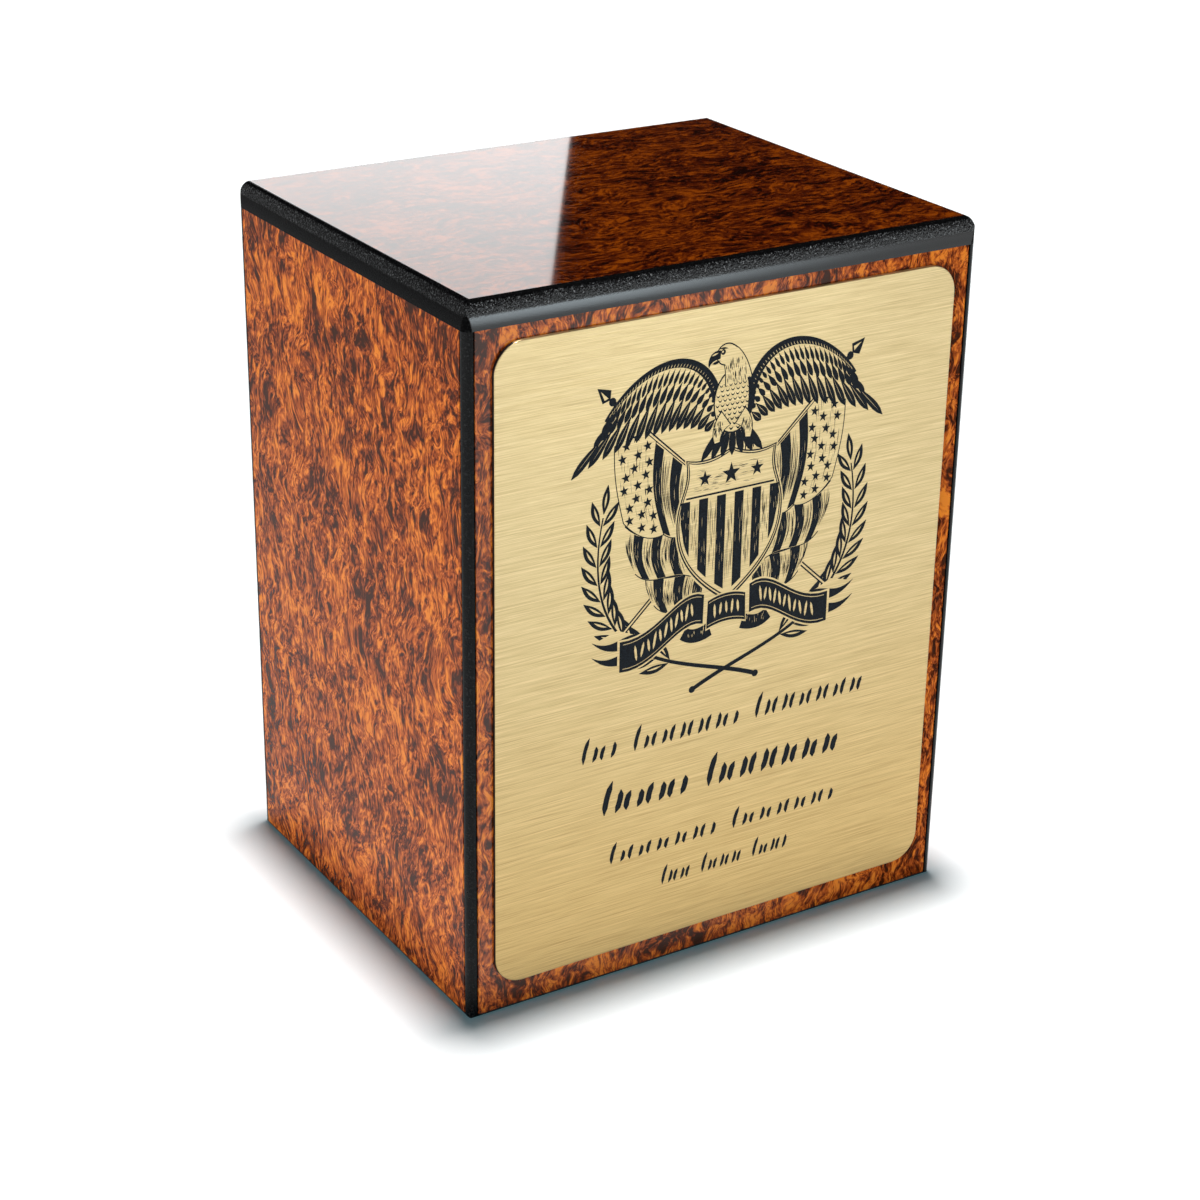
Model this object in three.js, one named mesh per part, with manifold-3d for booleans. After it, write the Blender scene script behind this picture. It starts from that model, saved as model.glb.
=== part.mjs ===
// Cremation urn box: a gloss-lacquered hardboard box, faced with burl veneer, with black rounded edges,
// a brass name plate on the front and a base panel that is screwed in from below.
// Millimetres. +Z is up, the name plate faces -Y, and the origin is the middle of the underside.

import * as THREE from "three";
import { mergeVertices } from "three/addons/utils/BufferGeometryUtils.js";
import Module from "manifold-3d";

const wasm = await Module();
wasm.setup();

// Driving dimensions of the box.
const boxWidth = 168;
const boxDepth = 138;
const boxHeight = 215;
const wallThickness = 9;
const topThickness = 8;
const veneerThickness = 0.6;

// Rounded black edges. The top board's whole edge is an elliptical rounding that falls by the board's
// thickness while it goes in by topEdgeInset.
const cornerRadius = 3;
const topEdgeInset = 3;
const bottomEdgeRadius = 1;

// Name plate.
const plateWidth = 152;
const plateHeight = 194;
const plateThickness = 1.2;
const plateCornerRadius = 9;
const plateEdgeBevel = 0.25;
const plateBottomMargin = 9;

// Base panel, the corner blocks that it is screwed to, and its screws.
const basePanelThickness = 9;
const basePanelGap = 0.5;
const blockLeg = 24;
const blockHeight = 26;
const screwFromCorner = 8.5;
const screwLength = 25;
const screwShankDiameter = 3.5;
const screwHeadDiameter = 7;
const screwHeadRecess = 0.2;
const screwThreadPitch = 2;
const screwThreadDepth = 0.35;
const screwTipLength = 3;
const screwClearance = 0.3;
const driveSlotLength = 4.4;
const driveSlotWidth = 1.1;
const driveSlotDepth = 1.5;

// Facets of the curves.
const cornerSegments = 8;
const topEdgeSegments = 12;
const bottomEdgeSegments = 4;
const plateCornerSegments = 12;
const screwSides = 16;
const cutMargin = 10;

// Half sizes and levels that the pieces share.
const outer = { x: boxWidth / 2, y: boxDepth / 2 };
const inner = { x: outer.x - wallThickness, y: outer.y - wallThickness };
const topJoint = boxHeight - topThickness;

const colours = {
  lacquer: 0x0b0c0d,
  burl: 0xa8521d,
  brass: 0xd9bf82,
  board: 0x17181a,
  block: 0xb89468,
  screw: 0xb9a469,
};

function material(colour, roughness, metalness = 0) {
  return new THREE.MeshStandardMaterial({ color: colour, roughness, metalness });
}

// A closed three.js geometry as a solid that can be cut.
function solid(geometry) {
  const bare = geometry.clone();
  bare.deleteAttribute("normal");
  bare.deleteAttribute("uv");
  const merged = mergeVertices(bare, 1e-5);
  return new wasm.Manifold(
    new wasm.Mesh({
      numProp: 3,
      vertProperties: new Float32Array(merged.attributes.position.array),
      triVerts: new Uint32Array(merged.index.array),
    }),
  );
}

function geometryOf(body) {
  const mesh = body.getMesh();
  const geometry = new THREE.BufferGeometry();
  geometry.setAttribute("position", new THREE.BufferAttribute(new Float32Array(mesh.vertProperties), 3));
  geometry.setIndex(new THREE.BufferAttribute(new Uint32Array(mesh.triVerts), 1));
  geometry.computeVertexNormals();
  return geometry;
}

// A block between two corners. Neighbours that share a number share that face exactly.
function block(low, high) {
  const geometry = new THREE.BoxGeometry(1, 1, 1);
  const position = geometry.attributes.position;
  for (let i = 0; i < position.count; i += 1) {
    position.setXYZ(
      i,
      position.getX(i) < 0 ? low[0] : high[0],
      position.getY(i) < 0 ? low[1] : high[1],
      position.getZ(i) < 0 ? low[2] : high[2],
    );
  }
  return geometry;
}

function roundedRectangle(halfWidth, halfHeight, radius) {
  const shape = new THREE.Shape();
  const x = halfWidth - radius;
  const y = halfHeight - radius;
  shape.absarc(x, y, radius, 0, Math.PI / 2);
  shape.absarc(-x, y, radius, Math.PI / 2, Math.PI);
  shape.absarc(-x, -y, radius, Math.PI, Math.PI * 1.5);
  shape.absarc(x, -y, radius, Math.PI * 1.5, Math.PI * 2);
  shape.closePath();
  return shape;
}

// The box's outline seen along one level axis: round at the foot, elliptical at the top edge.
function uprightOutline(halfWidth) {
  const shape = new THREE.Shape();
  const foot = new THREE.EllipseCurve(
    halfWidth - bottomEdgeRadius,
    bottomEdgeRadius,
    bottomEdgeRadius,
    bottomEdgeRadius,
    -Math.PI / 2,
    0,
  );
  const shoulder = new THREE.EllipseCurve(
    halfWidth - topEdgeInset,
    topJoint,
    topEdgeInset,
    topThickness,
    0,
    Math.PI / 2,
  );
  const right = [...foot.getPoints(bottomEdgeSegments), ...shoulder.getPoints(topEdgeSegments)];
  const left = right.map((point) => new THREE.Vector2(-point.x, point.y)).reverse();
  shape.setFromPoints([...right, ...left]);
  return shape;
}

// The whole lacquered block. Its upright corners and its top edges are rounded one after the other,
// as a router leaves them, so the upright rounding ends in a small pointed arch.
function lacqueredBlock() {
  const plan = new THREE.ExtrudeGeometry(roundedRectangle(outer.x, outer.y, cornerRadius), {
    depth: boxHeight,
    bevelEnabled: false,
    curveSegments: cornerSegments,
  });
  const front = new THREE.ExtrudeGeometry(uprightOutline(outer.x), {
    depth: boxDepth + cutMargin,
    bevelEnabled: false,
  });
  front.translate(0, 0, -(boxDepth + cutMargin) / 2);
  front.rotateX(Math.PI / 2);
  const side = new THREE.ExtrudeGeometry(uprightOutline(outer.y), {
    depth: boxWidth + cutMargin,
    bevelEnabled: false,
  });
  side.translate(0, 0, -(boxWidth + cutMargin) / 2);
  side.rotateX(Math.PI / 2);
  side.rotateZ(Math.PI / 2);
  return solid(plan).intersect(solid(front)).intersect(solid(side));
}

// The five burl sheets lie flush in the lacquered block and end where its roundings begin.
const veneers = {
  burl_veneer_front: block(
    [-outer.x + cornerRadius, -outer.y, bottomEdgeRadius],
    [outer.x - cornerRadius, -outer.y + veneerThickness, topJoint],
  ),
  burl_veneer_back: block(
    [-outer.x + cornerRadius, outer.y - veneerThickness, bottomEdgeRadius],
    [outer.x - cornerRadius, outer.y, topJoint],
  ),
  burl_veneer_left: block(
    [-outer.x, -outer.y + cornerRadius, bottomEdgeRadius],
    [-outer.x + veneerThickness, outer.y - cornerRadius, topJoint],
  ),
  burl_veneer_right: block(
    [outer.x - veneerThickness, -outer.y + cornerRadius, bottomEdgeRadius],
    [outer.x, outer.y - cornerRadius, topJoint],
  ),
  burl_veneer_top: block(
    [-outer.x + topEdgeInset, -outer.y + topEdgeInset, boxHeight - veneerThickness],
    [outer.x - topEdgeInset, outer.y - topEdgeInset, boxHeight],
  ),
};

// Front and back run the full width, the sides stand between them and the top lies on all four.
const boards = {
  front_board: block([-outer.x, -outer.y, 0], [outer.x, -inner.y, topJoint]),
  back_board: block([-outer.x, inner.y, 0], [outer.x, outer.y, topJoint]),
  left_board: block([-outer.x, -inner.y, 0], [-inner.x, inner.y, topJoint]),
  right_board: block([inner.x, -inner.y, 0], [outer.x, inner.y, topJoint]),
  top_board: block([-outer.x, -outer.y, topJoint], [outer.x, outer.y, boxHeight]),
};

function addCarcass(parent) {
  const finish = material(colours.lacquer, 0.2);
  let shell = lacqueredBlock();
  for (const sheet of Object.values(veneers)) {
    shell = shell.subtract(solid(sheet));
  }
  for (const [name, region] of Object.entries(boards)) {
    const board = new THREE.Mesh(geometryOf(shell.intersect(solid(region))), finish.clone());
    board.name = name;
    parent.add(board);
  }
}

function addVeneers(parent) {
  const finish = material(colours.burl, 0.15);
  for (const [name, geometry] of Object.entries(veneers)) {
    const sheet = new THREE.Mesh(geometry, finish.clone());
    sheet.name = name;
    parent.add(sheet);
  }
}

function addNamePlate(parent) {
  const outline = roundedRectangle(plateWidth / 2, plateHeight / 2, plateCornerRadius);
  const geometry = new THREE.ExtrudeGeometry(outline, {
    depth: plateThickness - 2 * plateEdgeBevel,
    bevelEnabled: true,
    bevelThickness: plateEdgeBevel,
    bevelSize: plateEdgeBevel,
    bevelOffset: -plateEdgeBevel,
    bevelSegments: 1,
    curveSegments: plateCornerSegments,
  });
  geometry.translate(0, 0, plateEdgeBevel);
  geometry.rotateX(Math.PI / 2);
  const plate = new THREE.Mesh(geometry, material(colours.brass, 0.35, 1));
  plate.name = "name_plate";
  plate.position.set(0, -outer.y, plateBottomMargin + plateHeight / 2);
  parent.add(plate);
}

// Half profile of a countersunk wood screw that points up, from its flat head to its tip.
function screwProfile(growth) {
  const shank = screwShankDiameter / 2 + growth;
  const head = screwHeadDiameter / 2 + growth;
  const neck = screwHeadRecess + head - shank;
  return { shank, head, neck };
}

function screwGeometry() {
  const { shank, head, neck } = screwProfile(0);
  const root = shank - screwThreadDepth;
  const threadEnd = screwLength - screwTipLength;
  const points = [
    new THREE.Vector2(0, screwHeadRecess),
    new THREE.Vector2(head, screwHeadRecess),
    new THREE.Vector2(shank, neck),
    new THREE.Vector2(shank, basePanelThickness),
  ];
  const turns = Math.max(1, Math.floor((threadEnd - basePanelThickness) / screwThreadPitch));
  for (let turn = 0; turn < turns; turn += 1) {
    const start = basePanelThickness + turn * screwThreadPitch;
    points.push(new THREE.Vector2(root, start + screwThreadPitch * 0.3));
    points.push(new THREE.Vector2(shank, start + screwThreadPitch));
  }
  points.push(new THREE.Vector2(0, screwLength));
  const body = new THREE.LatheGeometry(points, screwSides);
  body.rotateX(Math.PI / 2);
  const long = driveSlotLength / 2;
  const narrow = driveSlotWidth / 2;
  const deep = screwHeadRecess + driveSlotDepth;
  const slots = solid(block([-long, -narrow, -cutMargin], [long, narrow, deep])).add(
    solid(block([-narrow, -long, -cutMargin], [narrow, long, deep])),
  );
  return geometryOf(solid(body).subtract(slots));
}

// What a screw needs cut away: its countersink in the panel and its hole through panel and block.
function screwHole() {
  const { shank, head, neck } = screwProfile(screwClearance);
  const hole = new THREE.LatheGeometry(
    [
      new THREE.Vector2(0, -cutMargin),
      new THREE.Vector2(head + screwHeadRecess, -cutMargin),
      new THREE.Vector2(head + screwHeadRecess, 0),
      new THREE.Vector2(shank, neck),
      new THREE.Vector2(shank, screwLength + screwClearance),
      new THREE.Vector2(0, screwLength + screwClearance),
    ],
    screwSides,
  );
  hole.rotateX(Math.PI / 2);
  return hole;
}

const corners = [
  { label: "front_left", x: -1, y: -1 },
  { label: "front_right", x: 1, y: -1 },
  { label: "back_left", x: -1, y: 1 },
  { label: "back_right", x: 1, y: 1 },
];

function screwPlace(corner) {
  return new THREE.Vector3(
    corner.x * (inner.x - screwFromCorner),
    corner.y * (inner.y - screwFromCorner),
    0,
  );
}

function holeAt(corner) {
  const place = screwPlace(corner);
  return solid(screwHole().translate(place.x, place.y, place.z));
}

function addBasePanel(parent) {
  const x = inner.x - basePanelGap;
  const y = inner.y - basePanelGap;
  let panel = solid(block([-x, -y, 0], [x, y, basePanelThickness]));
  for (const corner of corners) {
    panel = panel.subtract(holeAt(corner));
  }
  const mesh = new THREE.Mesh(geometryOf(panel), material(colours.board, 0.6));
  mesh.name = "base_panel";
  parent.add(mesh);
}

// Three-cornered glue block that stands in an inner corner of the box, on the base panel.
function blockGeometry(corner) {
  const low = basePanelThickness;
  const high = basePanelThickness + blockHeight;
  const x = corner.x * inner.x;
  const y = corner.y * inner.y;
  const base = block(
    [Math.min(x, x - corner.x * blockLeg), Math.min(y, y - corner.y * blockLeg), low],
    [Math.max(x, x - corner.x * blockLeg), Math.max(y, y - corner.y * blockLeg), high],
  );
  const slice = block([0, -blockLeg * 2, low - cutMargin], [blockLeg * 2, blockLeg * 2, high + cutMargin]);
  slice.rotateZ(Math.atan2(-corner.y, -corner.x));
  slice.translate(x - (corner.x * blockLeg) / 2, y - (corner.y * blockLeg) / 2, 0);
  return geometryOf(solid(base).subtract(solid(slice)).subtract(holeAt(corner)));
}

function addCornerBlocks(parent) {
  for (const corner of corners) {
    const mesh = new THREE.Mesh(blockGeometry(corner), material(colours.block, 0.8));
    mesh.name = `corner_block_${corner.label}`;
    parent.add(mesh);
  }
}

function addScrews(parent) {
  const geometry = screwGeometry();
  for (const corner of corners) {
    const screw = new THREE.Mesh(geometry, material(colours.screw, 0.35, 1));
    screw.name = `base_screw_${corner.label}`;
    screw.position.copy(screwPlace(corner));
    parent.add(screw);
  }
}

const urn = new THREE.Group();
const carcass = new THREE.Group();
const base = new THREE.Group();
addCarcass(carcass);
addVeneers(carcass);
addNamePlate(carcass);
addBasePanel(base);
addCornerBlocks(base);
addScrews(base);
urn.add(carcass, base);

export default urn;
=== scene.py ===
"""A cremation urn box on a pale studio floor.

The box is a black lacquered case with burl veneer on its faces and a
brushed brass plate on its front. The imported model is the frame: its sizes
and places are read from it, and what is made here stays inside it.
Lengths are metres unless a name ends in _MM.
"""
import math
import random

import bmesh
import bpy
from mathutils import Matrix, Vector
from mathutils.geometry import delaunay_2d_cdt


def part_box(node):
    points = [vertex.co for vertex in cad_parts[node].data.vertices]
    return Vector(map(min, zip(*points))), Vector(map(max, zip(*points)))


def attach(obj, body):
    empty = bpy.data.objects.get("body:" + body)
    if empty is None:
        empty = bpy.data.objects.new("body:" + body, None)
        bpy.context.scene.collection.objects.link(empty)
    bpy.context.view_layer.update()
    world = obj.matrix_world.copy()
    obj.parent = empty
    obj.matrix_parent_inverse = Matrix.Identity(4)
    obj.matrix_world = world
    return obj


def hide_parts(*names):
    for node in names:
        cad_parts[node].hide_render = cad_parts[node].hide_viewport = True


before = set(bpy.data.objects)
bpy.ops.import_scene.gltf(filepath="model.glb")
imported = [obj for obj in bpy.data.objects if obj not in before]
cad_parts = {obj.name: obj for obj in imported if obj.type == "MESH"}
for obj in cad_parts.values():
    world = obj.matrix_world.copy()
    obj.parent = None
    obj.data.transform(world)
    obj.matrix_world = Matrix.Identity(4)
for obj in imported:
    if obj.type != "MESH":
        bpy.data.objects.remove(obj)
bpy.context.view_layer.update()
MM = 0.001

# Places read from the frame
BACK_LOW, BACK_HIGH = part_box("back_board")
TOP_LOW, TOP_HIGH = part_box("top_board")
FRONT_VENEER_LOW, FRONT_VENEER_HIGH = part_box("burl_veneer_front")
TOP_VENEER_LOW, TOP_VENEER_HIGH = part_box("burl_veneer_top")
PLATE_LOW, PLATE_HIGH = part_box("name_plate")

HALF_WIDTH = TOP_HIGH[0]
HALF_DEPTH = TOP_HIGH[1]
BOX_HEIGHT = TOP_HIGH[2]
TOP_UNDERSIDE = TOP_LOW[2]
WALL = BACK_HIGH[1] - BACK_LOW[1]
VENEER = TOP_VENEER_HIGH[2] - TOP_VENEER_LOW[2]
CORNER = HALF_WIDTH - FRONT_VENEER_HIGH[0]
TOP_INSET = HALF_WIDTH - TOP_VENEER_HIGH[0]
TOP_DROP = BOX_HEIGHT - TOP_UNDERSIDE
BOTTOM_ROUNDING = FRONT_VENEER_LOW[2]

# The groove between each upright round and the veneer beside it
GROOVE = 0.5 * MM
POST = CORNER - GROOVE

# Steps in a quarter turn of each rounded edge
CORNER_STEPS = 24
BOTTOM_STEPS = 8
PLATE_STEPS = 32
PLATE_RIM_STEPS = 6
SMOOTH_ANGLE = math.radians(28)
MERGE_DISTANCE = 0.5e-6

# Least sideways part of a face's normal for the face to count as a side
SIDE_LEAN = 0.1


def polar(centre, radius, degrees):
    angle = math.radians(degrees)
    return (centre[0] + radius * math.cos(angle), centre[1] + radius * math.sin(angle))


def corner_arc(centre, radius, start, steps, turn=90):
    return [polar(centre, radius, start + turn * i / steps) for i in range(steps + 1)]


def rounded_rectangle(half_width, half_depth, radius, steps):
    """Plan outline, anticlockwise from the corner between the +x and +y sides."""
    across = half_width - radius
    along = half_depth - radius
    corners = ((across, along, 0), (-across, along, 90), (-across, -along, 180), (across, -along, 270))
    outline = []
    for x, y, start in corners:
        outline += corner_arc((x, y), radius, start, steps)
    return outline


def clamped(outline, inset):
    """The outline cut back to the box's sides moved in by the inset."""
    across = HALF_WIDTH - inset
    along = HALF_DEPTH - inset
    return [(min(max(x, -across), across), min(max(y, -along), along)) for x, y in outline]


def at_height(outline, z):
    return [(x, y, z) for x, y in outline]


def loft(name, rings):
    """A closed solid through rings of as many points each, flat at both ends."""
    shape = bmesh.new()
    rows = [[shape.verts.new(point) for point in ring] for ring in rings]
    for lower, upper in zip(rows, rows[1:]):
        for i, corner in enumerate(lower):
            after = (i + 1) % len(lower)
            shape.faces.new((corner, lower[after], upper[after], upper[i]))
    shape.faces.new(reversed(rows[0]))
    shape.faces.new(rows[-1])
    bmesh.ops.remove_doubles(shape, verts=shape.verts, dist=MERGE_DISTANCE)
    bmesh.ops.recalc_face_normals(shape, faces=shape.faces)
    return finished(name, shape)


def finished(name, shape):
    """Turns a bmesh into an object with smooth rounds and crisp edges."""
    mesh = bpy.data.meshes.new(name)
    shape.to_mesh(mesh)
    shape.free()
    mesh.shade_smooth()
    mesh.set_sharp_from_angle(angle=SMOOTH_ANGLE)
    piece = bpy.data.objects.new(name, mesh)
    bpy.context.scene.collection.objects.link(piece)
    weighted = piece.modifiers.new("flat faces stay flat", "WEIGHTED_NORMAL")
    weighted.keep_sharp = True
    return piece


def place(piece, slot, material, *nodes):
    """Gives a piece its finish, its body and the nodes it stands for."""
    piece.data.materials.append(material)
    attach(piece, "root")
    if nodes:
        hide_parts(*nodes)


# Case


def wall_rings(plain, rebated):
    """Rings from the rounded bottom edge up, with the veneer's rebate above it."""
    rings = []
    for i in range(BOTTOM_STEPS + 1):
        angle = math.radians(90 * i / BOTTOM_STEPS)
        inset = BOTTOM_ROUNDING * (1 - math.sin(angle))
        height = BOTTOM_ROUNDING * (1 - math.cos(angle))
        rings.append(at_height(clamped(plain, inset), height))
    rings.append(at_height(rebated, BOTTOM_ROUNDING))
    rings.append(at_height(rebated, TOP_UNDERSIDE))
    return rings


def long_wall(name, side):
    """Front board at side -1, back board at side 1: it carries two upright rounds."""
    inner = side * (HALF_DEPTH - WALL)
    shoulder = side * (HALF_DEPTH - POST)
    outer = side * HALF_DEPTH
    rebate = side * (HALF_DEPTH - VENEER)
    half = HALF_WIDTH
    edge = HALF_WIDTH - POST
    arc = corner_arc((edge, shoulder), POST, 0, CORNER_STEPS, side * 90)
    mirrored = [(-x, y) for x, y in reversed(arc)]
    plain = [(half, inner), (half, shoulder)] + arc + [(edge, outer), (-edge, outer)]
    plain += mirrored + [(-half, shoulder), (-half, inner)]
    ledge = half - VENEER
    rebated = [(ledge, inner), (ledge, shoulder)] + arc + [(edge, rebate), (-edge, rebate)]
    rebated += mirrored + [(-ledge, shoulder), (-ledge, inner)]
    return loft(name, wall_rings(plain, rebated))


def short_wall(name, side):
    """Left board at side -1, right board at side 1, between the long walls."""
    inner = side * (HALF_WIDTH - WALL)
    outer = side * HALF_WIDTH
    rebate = side * (HALF_WIDTH - VENEER)
    half = HALF_DEPTH - WALL
    plain = [(inner, -half), (outer, -half), (outer, half), (inner, half)]
    rebated = [(inner, -half), (rebate, -half), (rebate, half), (inner, half)]
    return loft(name, wall_rings(plain, rebated))


WALLS = (
    ("front_board", long_wall, -1),
    ("back_board", long_wall, 1),
    ("left_board", short_wall, -1),
    ("right_board", short_wall, 1),
)


def top_lid(name):
    """Top board: elliptical rounds on four sides, mitred at the corners, round a veneer recess."""
    outline = rounded_rectangle(HALF_WIDTH, HALF_DEPTH, POST, CORNER_STEPS)
    rings = []
    for i in range(CORNER_STEPS + 1):
        angle = math.radians(90 * i / CORNER_STEPS)
        inset = TOP_INSET * (1 - math.cos(angle))
        height = TOP_UNDERSIDE + TOP_DROP * math.sin(angle)
        rings.append(at_height(clamped(outline, inset), height))
    rings.append(at_height(clamped(outline, TOP_INSET), BOX_HEIGHT - VENEER))
    return loft(name, rings)


def shade_side_rounds(piece, material):
    """Gives the faces that lean to the left or right a second material, a darker copy of the lacquer
    that is painted shade.
    """
    piece.data.materials.append(material)
    for face in piece.data.polygons:
        if abs(face.normal.x) > SIDE_LEAN:
            face.material_index = 1


def build_case():
    glossy = lacquer_material("lacquer_glossy", 0.5, 0.04)
    satin = lacquer_material("lacquer_satin", 0.13, 0.18)
    # A duller copy with dimmer specks: painted shade on the lid's side rounds
    shaded_sides = lacquer_material("lacquer_shaded_sides", 0.015, 0.14, 0.1)
    for board, wall, side in WALLS:
        place(wall(board + "_fine", side), "black_lacquer", satin, board)
    lid = top_lid("top_board_fine")
    place(lid, "black_lacquer", glossy, "top_board")
    shade_side_rounds(lid, shaded_sides)


# Plate

PLATE_CORNER = 9 * MM
PLATE_RIM = 0.3 * MM
INK_DEPTH = 0.03 * MM


def build_plate(brass):
    """The plate with round corners and a softened rim."""
    half_width = (PLATE_HIGH[0] - PLATE_LOW[0]) / 2
    half_height = (PLATE_HIGH[2] - PLATE_LOW[2]) / 2
    middle = (PLATE_HIGH[2] + PLATE_LOW[2]) / 2
    face = PLATE_LOW[1] + INK_DEPTH

    def ring(inset, y):
        outline = rounded_rectangle(
            half_width - inset, half_height - inset, PLATE_CORNER - inset, PLATE_STEPS
        )
        return [(x, y, middle + z) for x, z in outline]

    rings = [ring(0, PLATE_HIGH[1])]
    for i in range(PLATE_RIM_STEPS + 1):
        angle = math.radians(90 * i / PLATE_RIM_STEPS)
        inset = PLATE_RIM * (1 - math.cos(angle))
        rings.append(ring(inset, face + PLATE_RIM * (1 - math.sin(angle))))
    piece = loft("name_plate_fine", rings)
    place(piece, "plate_brass", brass, "name_plate")


# Print: flat shapes in millimetres, x from the plate's middle and z from the underside

EMBLEM_NARROWING = 0.92
PRINT_SEED = 11
WELD_MM = 1e-4


class Print:
    """Shapes laid over each other, each of ink or of bare metal."""

    def __init__(self):
        self.outlines = []
        self.inked = []
        self.narrowing = 1.0

    def shape(self, outline, ink=True):
        """Adds an outline, narrowed and turned anticlockwise."""
        outline = [(x * self.narrowing, z) for x, z in outline]
        after = outline[1:] + outline[:1]
        area = sum(a[0] * b[1] - b[0] * a[1] for a, b in zip(outline, after))
        self.outlines.append(outline if area > 0 else outline[::-1])
        self.inked.append(ink)


def mixed(a, b, share):
    return (a[0] + (b[0] - a[0]) * share, a[1] + (b[1] - a[1]) * share)


def bezier_at(points, share):
    """A place on a Bezier curve of any degree."""
    row = points
    while len(row) > 1:
        row = [mixed(a, b, share) for a, b in zip(row, row[1:])]
    return row[0]


def shares(steps):
    """Even shares of the way, from 0 to 1."""
    return [i / steps for i in range(steps + 1)]


def bezier(points, steps):
    return [bezier_at(points, share) for share in shares(steps)]


def sided(points, side):
    """The points as they are for side 1, or mirrored for side -1."""
    return [(side * x, z) for x, z in points]


def sides(path):
    """A unit vector to the left of the path at each of its points."""
    result = []
    for i in range(len(path)):
        before = path[max(i - 1, 0)]
        after = path[min(i + 1, len(path) - 1)]
        run = math.hypot(after[0] - before[0], after[1] - before[1])
        result.append(((before[1] - after[1]) / run, (after[0] - before[0]) / run))
    return result


def stroke(path, width, profile=lambda share: 1.0):
    """A band along the path, whose width follows the profile from start to end."""
    left, right = [], []
    for i, (point, side) in enumerate(zip(path, sides(path))):
        half = width * profile(i / (len(path) - 1)) / 2
        left.append((point[0] + side[0] * half, point[1] + side[1] * half))
        right.append((point[0] - side[0] * half, point[1] - side[1] * half))
    return left + right[::-1]


def swelling(share):
    return max(math.sin(math.pi * share), 0.04)


def pen(share):
    """Nearly even, with tapered ends."""
    return max(min(1.0, 5 * share, 5 * (1 - share)), 0.12)


def feather_width(share):
    """Narrow at the root and round at the tip."""
    return max(math.sin(math.pi * share ** 1.6) ** 0.7, 0.06)


def leaf(root, tip, width, bend=0.0, steps=8):
    """A pointed oval from root to tip, bent sideways by a share of its length."""
    side = (root[1] - tip[1], tip[0] - root[0])
    middle = mixed(root, tip, 0.5)
    pulled = (middle[0] + side[0] * bend, middle[1] + side[1] * bend)
    return stroke(bezier([root, pulled, tip], steps), width, swelling)


def star(centre, radius, turn=90):
    outline = []
    for i in range(10):
        reach = radius if i % 2 == 0 else radius * 0.4
        outline.append(polar(centre, reach, turn + 36 * i))
    return outline


def disc(centre, radius, steps=14):
    return [polar(centre, radius, 360 * i / steps) for i in range(steps)]


def ellipse(centre, across, upright, steps=28):
    outline = disc((0, 0), 1, steps)
    return [(centre[0] + across * x, centre[1] + upright * z) for x, z in outline]


def hatch(art, rng, patch, count, length, width, ink=True):
    """Short scratches that follow a patch, which maps two shares to a point."""
    for _ in range(count):
        across = rng.uniform(0.08, 0.92)
        start = rng.uniform(0.02, 0.95 - length)
        run = length * rng.uniform(0.5, 1.0)
        path = [patch(across, start + run * i / 3) for i in range(4)]
        art.shape(stroke(path, width * rng.uniform(0.6, 1.3), swelling), ink)


# Laurel

LEAF_LEAN = 29
FIRST_LEAF = 11
STEM_STEPS = 34


def branch_leaf(art, root, ahead, size, bend):
    """A dark leaf with a light slit along its middle."""
    tip = (root[0] + ahead[0] * size, root[1] + ahead[1] * size)
    base = mixed(root, tip, 0.1)
    art.shape(leaf(base, tip, 2.4, bend))
    art.shape(leaf(mixed(base, tip, 0.22), mixed(base, tip, 0.74), 0.6, bend), False)


def laurel(art):
    """Two branches that cross below the shield and climb outside the flags."""
    right = bezier([(-11, 88.5), (12, 99), (38, 98), (48, 121), (42, 148)], STEM_STEPS)
    for side in (1, -1):
        stem = sided(right, side)
        art.shape(stroke(stem, 1.4, lambda share: 1.0 - 0.7 * share))
        art.shape(disc(stem[0], 1.1))
        for i in range(FIRST_LEAF, STEM_STEPS + 1, 2):
            before = stem[i - 1]
            after = stem[min(i + 1, STEM_STEPS)]
            heading = math.degrees(math.atan2(after[1] - before[1], after[0] - before[0]))
            size = 12.0 - 0.09 * i
            for lean in (LEAF_LEAN, -LEAF_LEAN):
                ahead = polar((0, 0), 1, heading + lean)
                branch_leaf(art, stem[i], ahead, size, math.copysign(0.08, lean))
        branch_leaf(art, stem[-1], (-0.16 * side, 0.99), 9.5, 0.0)


# Flags

STAFF_TOP = (-43.0, 181.0)
STAFF_FOOT = (41.0, 109.0)


def staff(art, side):
    top, foot = sided([STAFF_TOP, STAFF_FOOT], side)
    art.shape(stroke([top, foot], 1.5))
    art.shape(stroke([mixed(top, foot, 0.01), mixed(top, foot, 0.99)], 0.55), False)
    art.shape(disc(foot, 1.3))
    art.shape(disc(foot, 0.6), False)


def spearhead(art, side):
    top, foot = sided([STAFF_TOP, STAFF_FOOT], side)
    base = Vector(top)
    out = (base - Vector(foot)).normalized()
    across = Vector((-out.y, out.x))
    point = base + out * 7.0
    wide = base + out * 2.6
    art.shape(disc(top, 1.25))
    for turn in (1, -1):
        art.shape([base + out, wide + across * turn * 2.3, point])
    art.shape([base + out * 1.9, wide + across * 1.2, point - out * 1.6], False)


def patch_between(upper, lower, sway=0.0):
    """A patch whose top and bottom edges are Bezier curves, hung with a slight sway."""

    def point(across, down):
        a = bezier_at(upper, across)
        b = bezier_at(lower, across)
        spot = mixed(a, b, down)
        return (spot[0] + sway * math.sin(math.pi * down), spot[1])

    return point


def patch_outline(patch, left, right, top=0.0, bottom=1.0, steps=10):
    """The part of a patch between two shares across and two shares down."""
    outline = [patch(left + (right - left) * i / steps, top) for i in range(steps)]
    outline += [patch(right, top + (bottom - top) * i / steps) for i in range(steps)]
    outline += [patch(right + (left - right) * i / steps, bottom) for i in range(steps)]
    outline += [patch(left, bottom + (top - bottom) * i / steps) for i in range(steps)]
    return outline


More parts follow.
